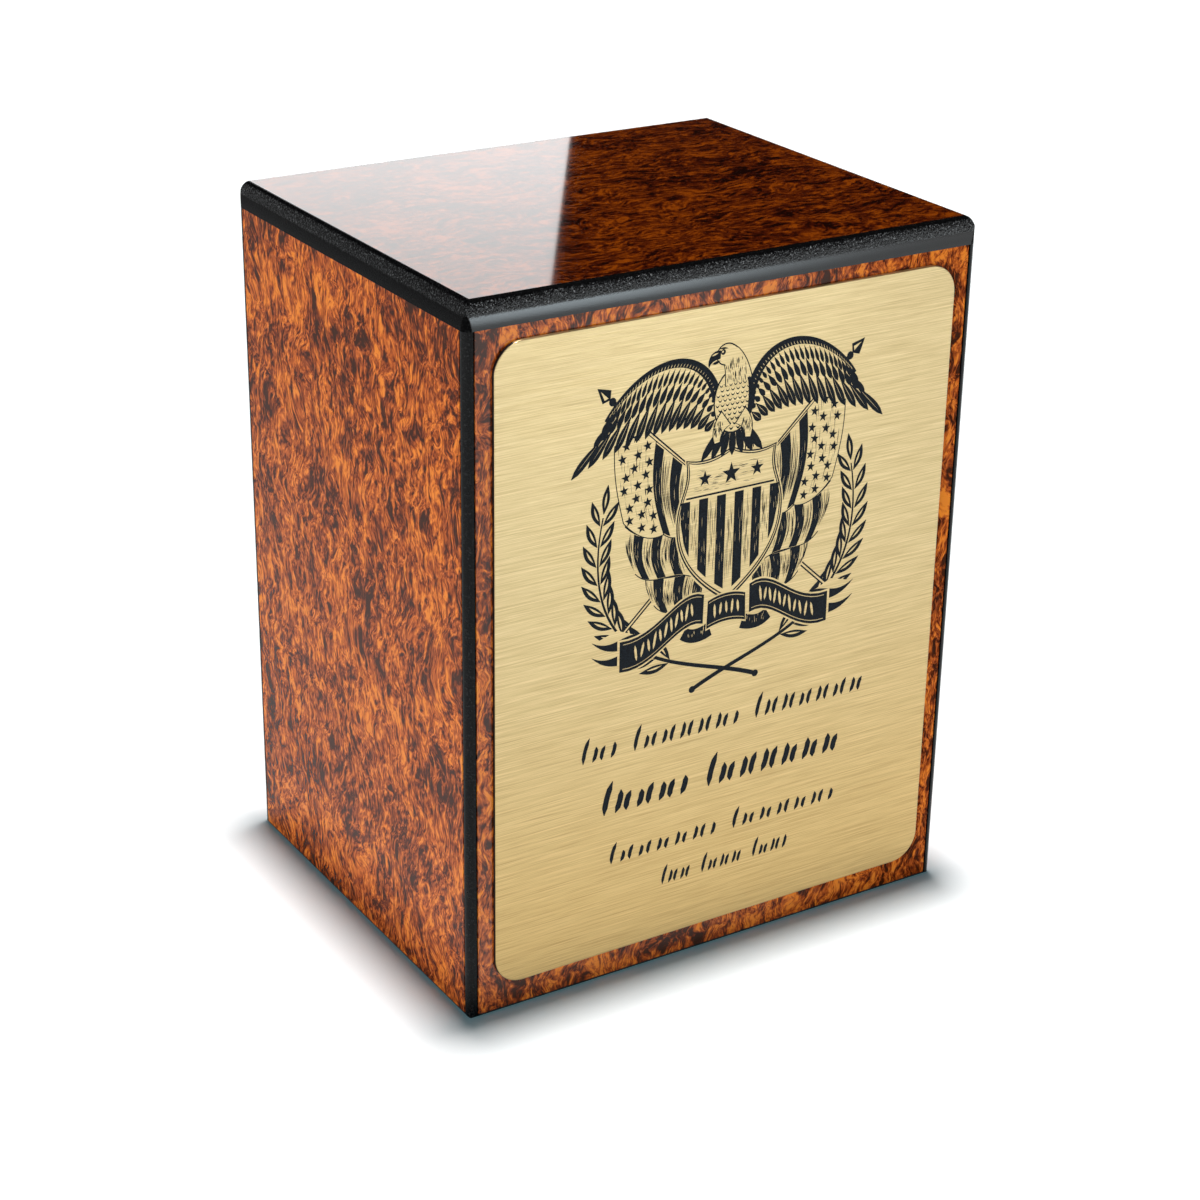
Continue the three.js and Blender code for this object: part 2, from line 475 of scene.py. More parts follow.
def striped_fold(art, rng, patch, stripes, first_dark):
    """One fold of the flag: dark stripes and scratched light ones."""
    art.shape(patch_outline(patch, 0, 1), False)
    for i in range(stripes):
        left = i / stripes
        right = (i + 1) / stripes
        band = narrowed(patch, left, right)
        if (i % 2 == 0) == first_dark:
            art.shape(patch_outline(patch, left, right, 0.02, 0.98, 6))
            hatch(art, rng, band, 5, 0.3, 0.14, False)
        else:
            hatch(art, rng, band, 20, 0.4, 0.2)
    for edge in (0.0, 1.0):
        art.shape(stroke([patch(share, edge) for share in shares(14)], 0.32))


def narrowed(patch, left, right):
    """The part of a patch between two shares across."""
    return lambda across, down: patch(left + (right - left) * across, down)


def star_field(art, rng, patch, side):
    """The flag's upper corner: scratched, edged and set with stars."""
    art.shape(patch_outline(patch, 0, 1), False)
    hatch(art, rng, patch, 40, 0.14, 0.14)
    for edge in (0.0, 1.0):
        art.shape(stroke([patch(edge, share) for share in shares(12)], 0.3))
        art.shape(stroke([patch(share, edge) for share in shares(12)], 0.3))
    for row in range(7):
        for column in range(3):
            across = 0.2 + 0.3 * column + (0.08 if row % 2 else 0)
            art.shape(star(patch(across, 0.1 + 0.135 * row), 1.7, 90 + side * 8))


def flag(art, rng, side):
    """A flag hung from its staff in folds, the upper one with a field of stars."""

    def fold(upper, lower, sway):
        return patch_between(sided(upper, side), sided(lower, side), side * sway)

    lowest = fold(
        [(-31, 129), (-24, 123), (-15, 127), (-8, 124)],
        [(-27, 118), (-22, 112), (-16, 116), (-9, 113)],
        -1.0,
    )
    striped_fold(art, rng, lowest, 6, False)
    middle = fold(
        [(-38, 144), (-30, 136), (-22, 141), (-14, 137)],
        [(-34, 129), (-28, 123), (-21, 128), (-13, 124)],
        -1.6,
    )
    striped_fold(art, rng, middle, 7, False)
    stripes = fold(
        [(-27.5, 167.2), (-22, 162.6), (-14, 156)],
        [(-24, 139), (-19, 135), (-12, 140)],
        -2.2,
    )
    striped_fold(art, rng, stripes, 4, True)
    field = fold(
        [(-41, 178.6), (-34, 172.8), (-27.5, 167.2)],
        [(-38.5, 145), (-31, 137), (-24, 139)],
        -2.2,
    )
    star_field(art, rng, field, side)


# Shield

SHIELD_HALF = 18.5
SHIELD_TOP = 158.5
SHIELD_SHOULDER = 141.0
SHIELD_TIP = 115.5
CHIEF_FOOT = 148.0
PALES = 11


def shield_bottom(x, grow=0.0):
    """Height of the shield's lower edge, pointed in the middle."""
    half = SHIELD_HALF + grow
    share = max(1 - abs(x) / half, 0.0)
    return SHIELD_SHOULDER - (SHIELD_SHOULDER - SHIELD_TIP + grow * 1.6) * share ** 0.44


def shield_outline(grow=0.0):
    half = SHIELD_HALF + grow
    steps = 22
    lower = []
    for i in range(2 * steps + 1):
        x = -half * math.cos(math.pi * i / (2 * steps))
        lower.append((x, shield_bottom(x, grow)))
    corner = (15.6 + grow, SHIELD_TOP + grow)
    flank = [(half, SHIELD_SHOULDER), (half - 0.3, SHIELD_SHOULDER + 8), (13.8 + grow, 151), corner]
    right = bezier(flank, 10)
    top = bezier([corner, (8, SHIELD_TOP - 2.4 + grow), (0, SHIELD_TOP + 1.6 + grow)], 10)
    upper = right[1:] + top[1:]
    mirrored = [(-x, z) for x, z in reversed(upper[:-1])]
    return lower + upper + mirrored


def pales(art, rng):
    """Upright stripes, dark ones and scratched light ones in turn."""
    half = SHIELD_HALF - 0.5
    top = CHIEF_FOOT - 0.9
    for i in range(PALES):
        left = -half + 2 * half * i / PALES
        right = left + 2 * half / PALES

        def pale(across, down, left=left, right=right):
            x = left + (right - left) * across
            foot = shield_bottom(x, -1.0)
            return (x, top + (foot - top) * down)

        if i % 2 == 0:
            art.shape(patch_outline(pale, 0, 1, 0, 1, 5))
            hatch(art, rng, pale, 7, 0.2, 0.14, False)
        else:
            hatch(art, rng, pale, 26, 0.22, 0.14)


def chief(art, rng):
    """The scratched band across the shield's top, with three stars."""
    foot = [(-16.2 + 32.4 * i / 12, CHIEF_FOOT) for i in range(13)]
    art.shape(stroke(foot, 0.55))

    def band(across, down):
        return (-15 + 30 * down, CHIEF_FOOT + 0.8 + 7.6 * across)

    hatch(art, rng, band, 70, 0.1, 0.12)
    for x, radius in ((-9.6, 2.5), (0, 3.4), (9.6, 2.5)):
        art.shape(star((x, CHIEF_FOOT + 5.0), radius + 0.5), False)
        art.shape(star((x, CHIEF_FOOT + 5.0), radius))


def shield(art, rng):
    """A double rim round the pales and the chief."""
    for grow, ink in ((1.5, False), (1.0, True), (0.55, False), (0.25, True), (-0.1, False)):
        art.shape(shield_outline(grow), ink)
    pales(art, rng)
    chief(art, rng)


# Eagle

WING_LEAD = [(6, 176), (9, 191), (26, 195.5), (40, 183), (45, 176)]
WING_TRAIL = [(7, 165), (16, 172), (26, 170), (34, 172), (53, 164)]

# Each row: feathers, depth of roots and tips, growth of the tips outwards, width, sweep
FEATHER_ROWS = (
    (15, 0.53, 1.0, 0.16, 2.5, 0.09),
    (19, 0.31, 0.61, 0.0, 1.75, 0.05),
    (25, 0.11, 0.35, 0.0, 1.2, 0.03),
)


def wing_point(share, depth):
    """A place on the wing, share along from the shoulder and depth from its leading edge."""
    return mixed(bezier_at(WING_LEAD, share), bezier_at(WING_TRAIL, share), depth)


def wing(art, side):
    """Three rows of feathers, the longest outermost, below a thick leading edge."""
    silhouette = [wing_point(share, -0.02) for share in shares(30)]
    silhouette += [wing_point(1 - share, 0.97) for share in shares(30)]
    art.shape(sided(silhouette, side), False)
    for count, root, tip, growth, width, sweep in FEATHER_ROWS:
        for i in range(count):
            share = i / (count - 1)
            start = wing_point(max(share * 0.94 - 0.01, 0), root)
            end = wing_point(min(share * 0.94 + sweep, 1.06), tip + growth * share)
            path = bezier(sided([start, mixed(start, end, 0.5), end], side), 7)
            art.shape(stroke(path, width, feather_width))
            if growth:
                art.shape(stroke(path[1:-1], 0.14, swelling), False)
    lead = sided([wing_point(share, 0.03) for share in shares(34)], side)
    art.shape(stroke(lead, 3.3, lambda share: 1.05 - 0.7 * share))
    for i in range(40):
        share = 0.03 + 0.92 * i / 40
        barb = sided([wing_point(share, 0.03), wing_point(share + 0.012, 0.10)], side)
        art.shape(leaf(*barb, 0.22, 0.0, 3), False)


def scales(art, centre, across, upright, rows):
    """Rows of small curved strokes over an oval breast."""
    size = 0.75
    for row in range(rows):
        height = 1 - 2 * (row + 0.5) / rows
        half = across * math.sqrt(max(1 - height * height, 0.0)) * 0.92
        count = max(int(half / 0.85), 1)
        for i in range(count):
            offset = 0.5 if row % 2 else 0.0
            x = centre[0] + half * (2 * (i + offset + 0.25) / count - 1)
            z = centre[1] + upright * height
            curve = bezier([(x - size, z + 0.35), (x, z - 1.15), (x + size, z + 0.35)], 5)
            if abs(x - centre[0]) < half:
                art.shape(stroke(curve, 0.34 + 0.25 * (row / rows), swelling))


def leg(art, rng, side):
    """A feathered thigh, and a foot whose claws hold the shield's edge."""
    thigh = bezier(sided([(2.5, 170), (6.5, 167), (5.6, 162.5)], side), 10)
    art.shape(stroke(thigh, 6.2, lambda share: 0.95 - 0.6 * share))
    inner = bezier(sided([(2.7, 169.7), (6.4, 167), (5.6, 163)], side), 10)
    art.shape(stroke(inner, 5.4, lambda share: 0.95 - 0.62 * share), False)

    def down(across, share):
        return (side * (3.2 + 4.6 * across - 0.8 * share), 169.5 - 6.0 * share)

    hatch(art, rng, down, 34, 0.3, 0.24)
    ankle = (side * 5.5, 162.2)
    for spread, reach in ((-3.4, 2.6), (-0.6, 3.3), (2.4, 2.7)):
        tip = (ankle[0] + spread, ankle[1] - reach)
        knuckle = (ankle[0] + spread * 0.9, ankle[1] + 0.6)
        art.shape(stroke(bezier([ankle, knuckle, tip], 7), 1.15, lambda share: 1.1 - 0.85 * share))


def tail(art):
    for i in range(7):
        x = -9 + 3 * i
        middle = bezier([(x * 0.3, 170), (x * 0.8, 163), (x * 1.25, 158.4)], 6)
        art.shape(stroke(middle, 2.6, feather_width))


def breast(art):
    centre = (0, 174.5)
    art.shape(ellipse(centre, 7.4, 9.6))
    art.shape(ellipse(centre, 6.9, 9.1), False)
    scales(art, centre, 6.9, 8.6, 12)
    shadow = bezier([(4.2, 182), (9.2, 174), (3.6, 166.4)], 12)
    art.shape(stroke(shadow, 2.4, swelling))


def head(art, rng):
    """A plumed neck and a head in profile, that looks to the left."""
    neck = bezier([(1.5, 180), (0.6, 186), (-2.4, 188.5)], 10)
    art.shape(stroke(neck, 9.2, lambda share: 1.1 - 0.42 * share))
    art.shape(stroke(neck, 8.4, lambda share: 1.12 - 0.44 * share), False)
    skull = (-3.0, 188.4)
    art.shape(ellipse(skull, 3.9, 3.3))
    art.shape(ellipse(skull, 3.5, 2.9), False)
    art.shape(stroke(neck[2:], 7.0, lambda share: 1.0 - 0.2 * share), False)

    def plume(across, share):
        return (-4.2 + 8.4 * across + 1.2 * share, 187.5 - 9.5 * share)

    hatch(art, rng, plume, 46, 0.22, 0.26)
    upper_beak = bezier([(-5.2, 189.8), (-9.6, 190.6), (-10.2, 186.2), (-9.4, 185.2)], 10)
    lower_edge = bezier([(-9.4, 185.2), (-8.8, 187.3), (-5.4, 187.4)], 8)
    art.shape(upper_beak + lower_edge[1:])
    art.shape(leaf((-5.4, 186.9), (-8.4, 186.3), 0.9, 0.1))
    art.shape(leaf((-6.2, 189.2), (-8.6, 188.6), 0.5, 0.0), False)
    art.shape(disc((-4.4, 189.2), 0.85))
    art.shape(disc((-4.6, 189.3), 0.34), False)
    art.shape(leaf((-6.0, 190.2), (-2.6, 190.0), 0.55, 0.12))


def eagle(art, rng):
    """A generic heraldic eagle: wings raised, breast forward, head in profile."""
    tail(art)
    for side in (1, -1):
        wing(art, side)
    breast(art)
    for side in (1, -1):
        leg(art, rng, side)
    head(art, rng)


# Ribbon


def panel(art, upper, lower, count):
    """A dark band of ribbon with a light edge line and a row of plain light strokes."""
    patch = patch_between(upper, lower)
    art.shape(patch_outline(patch, -0.02, 1.02, -0.06, 1.06, 12), False)
    art.shape(patch_outline(patch, 0, 1, 0, 1, 12))
    for down in (0.1, 0.9):
        art.shape(stroke([patch(0.03 + 0.94 * i / 14, down) for i in range(15)], 0.2), False)
    for i in range(count):
        across = 0.12 + 0.76 * (i + 0.5) / count
        lean = 0.012 if i % 2 else -0.012
        low = 0.28 if i % 3 else 0.24
        a = patch(across + lean, low)
        b = patch(across - lean, 1 - low)
        art.shape(stroke([mixed(a, b, share) for share in shares(4)], 0.85, pen), False)


def ribbon(art, rng):
    """A ribbon in three dark panels with folded ends and forked tails."""
    ends = [(30, 109), (40, 113), (49, 110.6), (44, 107.6), (48, 103.6), (38, 104.4), (30, 101)]
    wave = [(29, 107), (37, 111), (41, 105), (49, 111)]
    for side in (1, -1):
        art.shape(sided(ends, side), False)
        for shift in (0, -4.6):
            curve = bezier([(side * x, z + shift) for x, z in wave], 14)
            art.shape(stroke(curve, 4.9, lambda share: 1.02 - share ** 1.5))
        fold = bezier(sided([(6, 106.5), (12, 104), (16, 107)], side), 10)
        art.shape(stroke(fold, 5.4), False)
        art.shape(stroke(fold, 4.9, lambda share: 0.95 - 0.15 * share))

        def crease(across, down, side=side):
            return (side * (7 + 8 * across), 108.2 - 4.6 * down)

        hatch(art, rng, crease, 12, 0.4, 0.2, False)
    panel(art, [(-7.0, 115.2), (0, 117.8), (7.0, 115.2)], [(-7.3, 106.6), (0, 109.0), (7.3, 106.6)], 5)
    for side in (1, -1):
        upper = sided([(8.5, 117.6), (18, 122), (25, 107.5), (39, 109.2)], side)
        lower = sided([(8.7, 108.6), (18, 112), (26, 97.6), (39, 99.8)], side)
        panel(art, upper[::side], lower[::side], 11)


# Inscription

WRITING_SLANT = 0.26
WORD_GAP = 1.6


def writing_row(art, rng, baseline, height, groups, left, right, weight):
    """A row of slanted dashes in groups, which stand for words and spell nothing."""
    pitch = (right - left) / (sum(groups) + WORD_GAP * (len(groups) - 1))
    x = left
    for group in groups:
        for i in range(group):
            rise = height if i == 0 else height * rng.uniform(0.5, 0.68)
            foot = (x + pitch * 0.5, baseline)
            top = (foot[0] + WRITING_SLANT * rise, baseline + rise)
            bulge = pitch * (0.3 if i % 2 else -0.3)
            middle = mixed(foot, top, 0.5)
            path = bezier([foot, (middle[0] + bulge, middle[1]), top], 9)
            art.shape(stroke(path, weight, pen))
            x += pitch
        x += WORD_GAP * pitch


def inscription(art, rng):
    writing_row(art, rng, 73.6, 8.0, (4, 12, 13), -49, 51, 1.25)
    writing_row(art, rng, 55.2, 10.6, (8, 13), -42, 43, 1.9)
    writing_row(art, rng, 38.6, 6.8, (12, 12), -39, 42, 1.2)
    writing_row(art, rng, 26.6, 6.4, (5, 7, 6), -20.5, 25, 1.0)


def inked_faces(art):
    """Splits the overlapping shapes into triangles and keeps those whose uppermost shape is ink."""
    points, faces = [], []
    for outline in art.outlines:
        faces.append(list(range(len(points), len(points) + len(outline))))
        points += [Vector(point) for point in outline]
    result = delaunay_2d_cdt(points, [], faces, 1, WELD_MM, True)
    corners, triangles, owners = result[0], result[2], result[5]
    kept = [face for face, owner in zip(triangles, owners) if owner and art.inked[max(owner)]]
    return corners, kept


def loop_edges(triangle):
    return list(zip(triangle, triangle[1:] + triangle[:1]))


def skin(corners, triangles):
    """A closed skin as thick as the ink, its face flush with the plate's."""
    outer = PLATE_LOW[1]
    inner = PLATE_LOW[1] + INK_DEPTH
    shape = bmesh.new()
    face_verts, back_verts = {}, {}

    def vert(store, index, y):
        if index not in store:
            store[index] = shape.verts.new((corners[index].x * MM, y, corners[index].y * MM))
        return store[index]

    edges = {edge for triangle in triangles for edge in loop_edges(triangle)}
    for triangle in triangles:
        shape.faces.new([vert(face_verts, i, outer) for i in triangle])
        shape.faces.new([vert(back_verts, i, inner) for i in reversed(triangle)])
        for a, b in loop_edges(triangle):
            if (b, a) not in edges:
                shape.faces.new((face_verts[b], face_verts[a], back_verts[a], back_verts[b]))
    return shape


def build_print(ink):
    """The printed emblem and inscription, a skin of ink on the plate's face."""
    art = Print()
    rng = random.Random(PRINT_SEED)
    laurel(art)
    art.narrowing = EMBLEM_NARROWING
    for side in (1, -1):
        staff(art, side)
    for side in (1, -1):
        flag(art, rng, side)
    shield(art, rng)
    ribbon(art, rng)
    eagle(art, rng)
    for side in (1, -1):
        spearhead(art, side)
    art.narrowing = 1.0
    inscription(art, rng)
    piece = finished("plate_print", skin(*inked_faces(art)))
    place(piece, "plate_print", ink)


# Materials


def fill_ramp(node, stops):
    """Sets a colour ramp's stops, each a position and a colour."""
    elements = node.color_ramp.elements
    while len(elements) < len(stops):
        elements.new(0.5)
    for element, (position, colour) in zip(elements, stops):
        element.position = position
        element.color = (*colour, 1.0)


class Shader:
    """A material's nodes, with short ways to add and join them."""

    def __init__(self, name):
        self.material = bpy.data.materials.new(name)
        self.material.use_nodes = True
        self.tree = self.material.node_tree
        self.tree.nodes.clear()
        output = self.tree.nodes.new("ShaderNodeOutputMaterial")
        self.surface = self.tree.nodes.new("ShaderNodeBsdfPrincipled")
        self.tree.links.new(self.surface.outputs["BSDF"], output.inputs["Surface"])
        coordinates = self.tree.nodes.new("ShaderNodeTexCoord")
        self.place = self.vector("SCALE", coordinates.outputs["Object"], scale=1 / MM)

    def wire(self, value, socket):
        """Sets a socket to a value, or links it to another node's output."""
        if isinstance(value, bpy.types.NodeSocket):
            self.tree.links.new(value, socket)
        else:
            socket.default_value = value

    def set(self, **values):
        for name, value in values.items():
            self.wire(value, self.surface.inputs[name.replace("_", " ")])

    def vector(self, operation, a, b=None, scale=None):
        node = self.tree.nodes.new("ShaderNodeVectorMath")
        node.operation = operation
        self.wire(a, node.inputs[0])
        if b is not None:
            self.wire(b, node.inputs[1])
        if scale is not None:
            self.wire(scale, node.inputs["Scale"])
        return node.outputs["Vector"]

    def math(self, operation, a, b=0.0):
        node = self.tree.nodes.new("ShaderNodeMath")
        node.operation = operation
        self.wire(a, node.inputs[0])
        self.wire(b, node.inputs[1])
        return node.outputs["Value"]

    def part(self, vector, axis):
        node = self.tree.nodes.new("ShaderNodeSeparateXYZ")
        self.wire(vector, node.inputs["Vector"])
        return node.outputs[axis]

    def noise(self, vector, scale, detail=3.0, roughness=0.55, distortion=0.0, colour=False):
        node = self.tree.nodes.new("ShaderNodeTexNoise")
        self.wire(vector, node.inputs["Vector"])
        self.wire(scale, node.inputs["Scale"])
        self.wire(detail, node.inputs["Detail"])
        self.wire(roughness, node.inputs["Roughness"])
        self.wire(distortion, node.inputs["Distortion"])
        return node.outputs["Color" if colour else "Fac"]

    def cells(self, vector, scale):
        """Distance to the nearest of many scattered points."""
        node = self.tree.nodes.new("ShaderNodeTexVoronoi")
        self.wire(vector, node.inputs["Vector"])
        self.wire(scale, node.inputs["Scale"])
        return node.outputs["Distance"]

    def warped(self, vector, source, scale, reach):
        """Moves a place by a coloured noise, by up to about half the reach."""
        colour = self.noise(source, scale, 2.0, 0.5, 0.0, True)
        centred = self.vector("SUBTRACT", colour, (0.5, 0.5, 0.5))
        return self.vector("ADD", vector, self.vector("MULTIPLY", centred, reach))

    def span(self, value, low, high, to_low=0.0, to_high=1.0, curve="SMOOTHSTEP"):
        """Goes from one value to the other between low and high, and is level beyond both."""
        node = self.tree.nodes.new("ShaderNodeMapRange")
        node.interpolation_type = curve
        self.wire(value, node.inputs["Value"])
        self.wire(low, node.inputs["From Min"])
        self.wire(high, node.inputs["From Max"])
        self.wire(to_low, node.inputs["To Min"])
        self.wire(to_high, node.inputs["To Max"])
        return node.outputs["Result"]

    def length(self, vector):
        node = self.tree.nodes.new("ShaderNodeVectorMath")
        node.operation = "LENGTH"
        self.wire(vector, node.inputs[0])
        return node.outputs["Value"]

    def ramp(self, value, stops):
        node = self.tree.nodes.new("ShaderNodeValToRGB")
        self.wire(value, node.inputs["Fac"])
        fill_ramp(node, stops)
        return node.outputs["Color"]

    def blend(self, share, first, second):
        """The first colour where the share is 0 and the second where it is 1."""
        node = self.tree.nodes.new("ShaderNodeMix")
        node.data_type = "RGBA"
        colours = [socket for socket in node.inputs if socket.type == "RGBA"]
        self.wire(share, node.inputs["Factor"])
        for socket, colour in zip(colours, (first, second)):
            self.wire((*colour, 1.0) if isinstance(colour, tuple) else colour, socket)
        return [socket for socket in node.outputs if socket.type == "RGBA"][0]

    def bump(self, height, strength, distance):
        node = self.tree.nodes.new("ShaderNodeBump")
        self.wire(height, node.inputs["Height"])
        self.wire(strength, node.inputs["Strength"])
        self.wire(distance, node.inputs["Distance"])
        self.wire(node.outputs["Normal"], self.surface.inputs["Normal"])


BURL_CONTRAST = 1.6
BURL_MIDDLE = 0.492


def burl_material(name, grain, stops, offset, polish, index):
    """Burl under lacquer: wavy strands along the grain, bent round small dark eyes.

    The polish is a share, or an axis, two places on it in mm and the shares there.
    The index is the lacquer's index of refraction.
    """
    shader = Shader(name)
    moved = shader.vector("ADD", shader.place, offset)
    bent = shader.warped(moved, moved, 1 / 26, (15, 15, 15))
    bent = shader.warped(bent, bent, 1 / 8, (4, 4, 4))
    rounder = tuple(share ** 0.7 for share in grain)
    eyes = shader.cells(shader.vector("MULTIPLY", bent, rounder), 1 / 9)
    bulge = shader.vector("SCALE", (1.0, 1.0, 0.4), scale=shader.math("MULTIPLY", eyes, 5.0))
    along = shader.vector("MULTIPLY", shader.vector("ADD", bent, bulge), grain)
    strands = shader.noise(along, 0.52, 3.0, 0.5, 0.8)
    threads = shader.noise(along, 1.5, 2.0, 0.5, 0.5)
    clumps = shader.noise(along, 0.2, 2.0, 0.5, 0.6)
    patches = shader.noise(moved, 1 / 22, 2.0, 0.5, 0.6)
    tone = BURL_MIDDLE
    for layer, weight in ((strands, 1.0), (threads, 0.62), (clumps, 0.45), (patches, 0.38)):
        part = shader.math("MULTIPLY", shader.math("SUBTRACT", layer, 0.5), BURL_CONTRAST * weight)
        tone = shader.math("ADD", tone, part)
    grouped = shader.span(shader.noise(moved, 1 / 30, 1.0), 0.42, 0.58, 0.08, 0.42)
    darkening = shader.math("MULTIPLY", shader.span(eyes, 0.30, 0.04), grouped)
    tone = shader.math("SUBTRACT", tone, darkening)
    if isinstance(polish, tuple):
        polish = shader.span(shader.part(shader.place, polish[0]), *polish[1:])
    shader.set(
        Base_Color=shader.ramp(tone, stops),
        Roughness=0.5,
        Specular_IOR_Level=0.0,
        Coat_Weight=polish,
        Coat_Roughness=0.04,
        Coat_IOR=index,
    )
    return shader.material


# Burl colours, from the darkest figure to the lightest. The top's are the same burl made several times
# darker, painted shade on the lid.
SIDE_TONES = (
    (0.22, (0.046, 0.011, 0.002)),
    (0.34, (0.141, 0.023, 0.003)),
    (0.42, (0.251, 0.043, 0.006)),
    (0.50, (0.374, 0.071, 0.010)),
    (0.58, (0.510, 0.103, 0.014)),
    (0.66, (0.651, 0.149, 0.018)),
    (0.80, (0.836, 0.248, 0.024)),
)
SHADED_TOP_TONES = (
    (0.22, (0.007, 0.001, 0.0003)),
    (0.34, (0.031, 0.003, 0.0003)),
    (0.42, (0.045, 0.005, 0.0004)),
    (0.50, (0.064, 0.009, 0.0005)),
    (0.58, (0.089, 0.014, 0.0005)),
    (0.66, (0.122, 0.020, 0.0005)),
    (0.80, (0.190, 0.036, 0.0008)),
)


BLACK = (0.0015, 0.0015, 0.0017)

# Heights above the lid's underside at which the pebbles, and the painted glints with them, fade in and
# out
PEBBLES_IN_MM = (3.6, 4.4)
PEBBLES_OUT_MM = (6.9, 7.5)


def lacquer_material(name, gloss, glints_elsewhere, glint=0.19):
    """Black lacquer with a band of pebbles on the upper rounds, and painted glints.

    The glints are light specks painted into its colour, strongest on the pebbles; glints_elsewhere is
    their share on the rest, and glint the brightest of them.
    """
    shader = Shader(name)
    height = shader.part(shader.place, "Z")
    lid = TOP_UNDERSIDE / MM
    rising = shader.span(height, lid + PEBBLES_IN_MM[0], lid + PEBBLES_IN_MM[1])
    falling = shader.span(height, lid + PEBBLES_OUT_MM[1], lid + PEBBLES_OUT_MM[0])
    pebbled_and_glinting = shader.math("MULTIPLY", rising, falling)
    pebbles = shader.noise(shader.place, 1.9, 2.0, 0.6, 0.3)
    shader.bump(pebbles, shader.math("ADD", shader.math("MULTIPLY", pebbled_and_glinting, 0.92), 0.05), 0.3 * MM)
    # Painted glints: light grey specks in the base colour, where the lacquer would sparkle
    glint_noise = shader.noise(shader.place, 1.8, 2.0, 0.75)
    bright = (glint, 1.03 * glint, 1.05 * glint)
    painted_glints = shader.ramp(glint_noise, ((0.50, BLACK), (0.59, (0.022, 0.023, 0.024)), (0.72, bright)))
    share = shader.math("MAXIMUM", pebbled_and_glinting, glints_elsewhere)
    shader.set(
        Base_Color=shader.blend(share, BLACK, painted_glints),
        Roughness=0.13,
        Specular_IOR_Level=gloss,
    )
    return shader.material


def brass_material():
    """Brass brushed along the plate's width. Its sides and underside are black, a painted shadow line
    round the plate, and its top edge stays brass where light falls on it.
    """
    shader = Shader("brushed_brass")
    behind_face = shader.math("SUBTRACT", shader.part(shader.place, "Y"), PLATE_LOW[1] / MM)
    height = shader.part(shader.place, "Z")
    lit_top_edge = shader.span(height, PLATE_HIGH[2] / MM - 0.6, PLATE_HIGH[2] / MM - 0.3)
    # Painted shadow line: black behind the face, except along the lit top edge
    metal = shader.math("MAXIMUM", shader.span(behind_face, 0.20, 0.12), lit_top_edge)
    hairs = shader.noise(shader.vector("MULTIPLY", shader.place, (0.045, 1.0, 4.6)), 1.0, 3.0, 0.75)
    lines = shader.noise(shader.vector("MULTIPLY", shader.place, (0.028, 1.0, 2.0)), 1.0, 1.0, 0.5)
    tone = shader.math("MULTIPLY", hairs, 0.75)
    tone = shader.math("ADD", tone, shader.math("MULTIPLY", lines, 0.25))
    stops = (
        (0.34, (0.47, 0.346, 0.165)),
        (0.50, (0.63, 0.485, 0.251)),
        (0.66, (0.79, 0.624, 0.349)),
    )
    # Painted shade: the brass is darker and warmer towards the bottom, where it mirrors the shadowed
    # floor
    rise = shader.span(height, PLATE_LOW[2] / MM, 0.7 * PLATE_HIGH[2] / MM)
    lower_shade = shader.blend(rise, (0.90, 0.81, 0.65), (1.0, 1.0, 1.0))
    gold = shader.vector("MULTIPLY", shader.ramp(tone, stops), lower_shade)
    shader.set(
        Base_Color=shader.blend(metal, (0.004, 0.004, 0.0045), gold),
        Metallic=metal,
        Roughness=shader.span(lines, 0.3, 0.7, 0.34, 0.46),
        Specular_IOR_Level=0.3,
        Anisotropic=0.6,
        Tangent=tangent(shader),
    )
    return shader.material


def tangent(shader):
    """The direction across the brush lines, in which highlights are drawn out."""
    node = shader.tree.nodes.new("ShaderNodeTangent")
    node.direction_type = "RADIAL"
    node.axis = "X"
    return node.outputs["Tangent"]


def ink_material():
    shader = Shader("print_ink")
    mottle = shader.noise(shader.place, 2.2, 3.0, 0.6)
    tones = ((0.35, (0.0035, 0.0055, 0.0085)), (0.7, (0.012, 0.017, 0.024)))
    shader.set(
        Base_Color=shader.ramp(mottle, tones),
        Roughness=shader.span(mottle, 0.3, 0.7, 0.5, 0.65),
        Specular_IOR_Level=0.1,
    )
    return shader.material


def panel_material():
    """Black painted fibreboard of the underside."""
    shader = Shader("painted_base")
    grain = shader.noise(shader.place, 0.9, 5.0, 0.65)
    shader.bump(grain, 0.25, 0.1 * MM)
    shader.set(
        Base_Color=shader.ramp(grain, ((0.3, (0.010, 0.010, 0.011)), (0.7, (0.024, 0.023, 0.023)))),
        Roughness=shader.span(grain, 0.3, 0.7, 0.5, 0.7),
    )
    return shader.material


def raw_wood_material():
    shader = Shader("raw_wood")
    bent = shader.warped(shader.place, shader.place, 0.1, (1, 1, 1))
    grain = shader.noise(shader.vector("MULTIPLY", bent, (0.5, 0.5, 0.05)), 1.4, 4.0, 0.6)
    shader.bump(grain, 0.3, 0.1 * MM)
    shader.set(
        Base_Color=shader.ramp(grain, ((0.3, (0.33, 0.19, 0.085)), (0.7, (0.58, 0.40, 0.21)))),
        Roughness=shader.span(grain, 0.3, 0.7, 0.6, 0.75),
    )
    return shader.material


def screw_material():
    shader = Shader("screw_brass_fine")
    scuffs = shader.noise(shader.place, 1.6, 4.0, 0.6)
    shader.bump(scuffs, 0.15, 0.05 * MM)
    shader.set(
        Base_Color=shader.ramp(scuffs, ((0.3, (0.50, 0.34, 0.13)), (0.7, (0.78, 0.58, 0.27)))),
        Metallic=1.0,
        Roughness=shader.span(scuffs, 0.3, 0.7, 0.25, 0.42),
    )
    return shader.material


def wear(node, material):
    """Gives a carried-over node its own material."""
    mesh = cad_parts[node].data
    mesh.materials.clear()
    mesh.materials.append(material)


